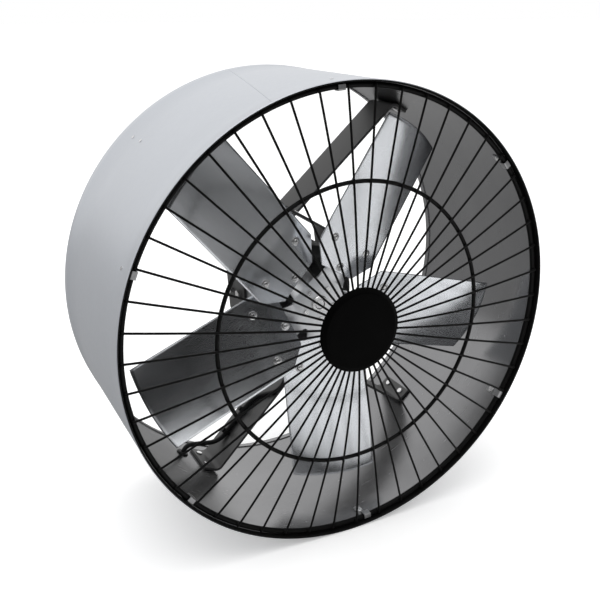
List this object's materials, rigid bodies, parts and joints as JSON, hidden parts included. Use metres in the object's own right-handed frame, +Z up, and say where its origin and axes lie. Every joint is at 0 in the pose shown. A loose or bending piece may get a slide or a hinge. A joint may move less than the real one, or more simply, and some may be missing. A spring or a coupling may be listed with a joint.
{
  "type": "industrial exhaust fan",
  "caption": "Round industrial exhaust fan: grey sheet drum, black wire guard with a plain round cap, sheet metal blades on a pressed spider, motor hung on crossed straps",
  "frame": {"origin": "on the fan axis, half way along the drum", "axes": "+Y runs along the fan axis from the guarded front to the open rear, +Z is up and +X is to the right as seen from the front"},
  "size_m": [0.4999, 0.2428, 0.5],
  "materials": {
    "drum_sheet": "satin light grey, grey galvanized inside",
    "guard_wire": "black powder coat",
    "cap_plastic": "gloss black",
    "bright_sheet": "bright rolled sheet",
    "blade_sheet": "rolled galvanized sheet",
    "strap_steel": "dark grey, semi gloss",
    "motor_paint": "black, semi gloss",
    "motor_aluminium": "cast and turned",
    "core_steel": "laminated",
    "winding_copper": "enamelled copper",
    "bearing_steel": "ground",
    "steel_screw": "zinc plated",
    "dark_screw": "black oxide",
    "cable_rubber": "matte black"
  },
  "bodies": {
    "frame": {"housing_shell": "drum_sheet", "guard_ring_outer": "guard_wire", "guard_ring_middle": "guard_wire", "guard_spokes": "guard_wire", "guard_cap": "cap_plastic", "guard_disc": "guard_wire", "cap_screw": "steel_screw", "guard_clips": "bright_sheet", "clip_rivets": "steel_screw", "strap_rivets": "steel_screw", "support_strap_left": "strap_steel", "support_strap_right": "strap_steel", "strap_bolts": "steel_screw", "motor_lead": "cable_rubber", "cable_ties": "cap_plastic", "cable_grommet": "cable_rubber", "motor_bell_front": "motor_paint", "motor_bell_rear": "motor_paint", "motor_shell": "motor_aluminium", "stator_core": "core_steel", "stator_windings": "winding_copper", "motor_tie_screws": "steel_screw", "bearing_front": "bearing_steel", "bearing_rear": "bearing_steel"},
    "impeller": {"motor_shaft": "bearing_steel", "rotor_core": "core_steel", "hub_boss": "bright_sheet", "set_screw": "dark_screw", "hub_rivets": "steel_screw", "hub_spider": "bright_sheet", "blade_1": "blade_sheet", "blade_2": "blade_sheet", "blade_3": "blade_sheet", "blade_4": "blade_sheet", "blade_5": "blade_sheet", "blade_bolts": "steel_screw", "blade_nuts": "steel_screw"}
  },
  "joints": [
    {"name": "impeller_spin", "type": "hinge", "parent": "frame", "child": "impeller", "pos_m": [0, 0, 0], "axis": [0, 1, 0], "continuous": true}
  ]
}
